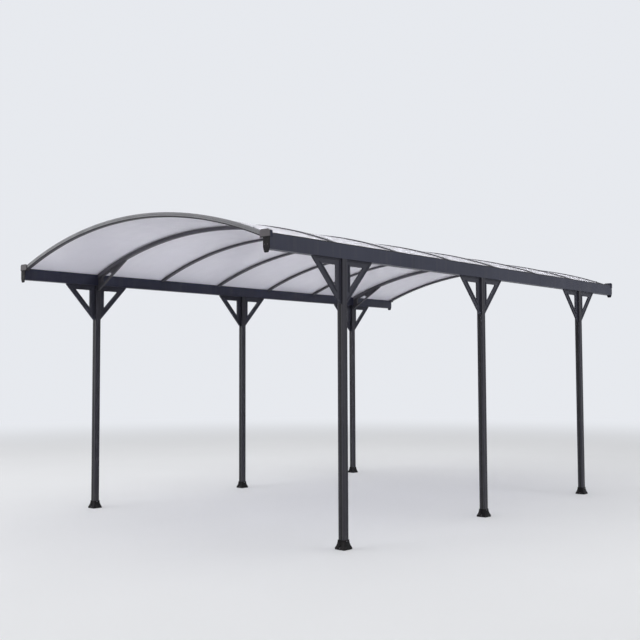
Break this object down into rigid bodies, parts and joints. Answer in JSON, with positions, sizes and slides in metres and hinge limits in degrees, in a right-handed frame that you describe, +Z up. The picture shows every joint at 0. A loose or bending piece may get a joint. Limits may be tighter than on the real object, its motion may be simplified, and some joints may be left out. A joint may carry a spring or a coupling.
{
  "type": "carport",
  "caption": "Open carport with slim square posts, gutter beams, triangular braces and an arched roof of translucent sheets between curved ribs.",
  "frame": {"origin": "on the ground under the centre of the roof", "axes": "+Z up, +Y along the roof and its gutters, +X across the parking bay"},
  "size_m": [2.953, 5.049, 2.34],
  "materials": {
    "frame": "satin powder coat",
    "bracket": "satin powder coat",
    "moulding": "fine grain moulded",
    "roof_sheet": "frosted translucent polycarbonate"
  },
  "bodies": {
    "root": {"beam_braces_left_back": "bracket", "beam_braces_left_front": "bracket", "beam_braces_left_middle": "bracket", "beam_braces_right_back": "bracket", "beam_braces_right_front": "bracket", "beam_braces_right_middle": "bracket", "end_rib_back": "frame", "end_rib_front": "frame", "gutter_cap_left_back": "moulding", "gutter_cap_left_front": "moulding", "gutter_cap_right_back": "moulding", "gutter_cap_right_front": "moulding", "gutter_left": "frame", "gutter_right": "frame", "post_left_back": "frame", "post_left_front": "frame", "post_left_middle": "frame", "post_rib_1": "frame", "post_rib_6": "frame", "post_right_back": "frame", "post_right_front": "frame", "post_right_middle": "frame", "rib_2": "frame", "rib_3": "frame", "rib_4": "frame", "rib_5": "frame", "rib_brace_left_back": "bracket", "rib_brace_left_front": "bracket", "rib_brace_right_back": "bracket", "rib_brace_right_front": "bracket", "roof_panel_1": "roof_sheet", "roof_panel_2": "roof_sheet", "roof_panel_3": "roof_sheet", "roof_panel_4": "roof_sheet", "roof_panel_5": "roof_sheet", "roof_panel_6": "roof_sheet", "roof_panel_7": "roof_sheet", "shoe_left_back": "moulding", "shoe_left_front": "moulding", "shoe_left_middle": "moulding", "shoe_right_back": "moulding", "shoe_right_front": "moulding", "shoe_right_middle": "moulding"}
  },
  "joints": []
}
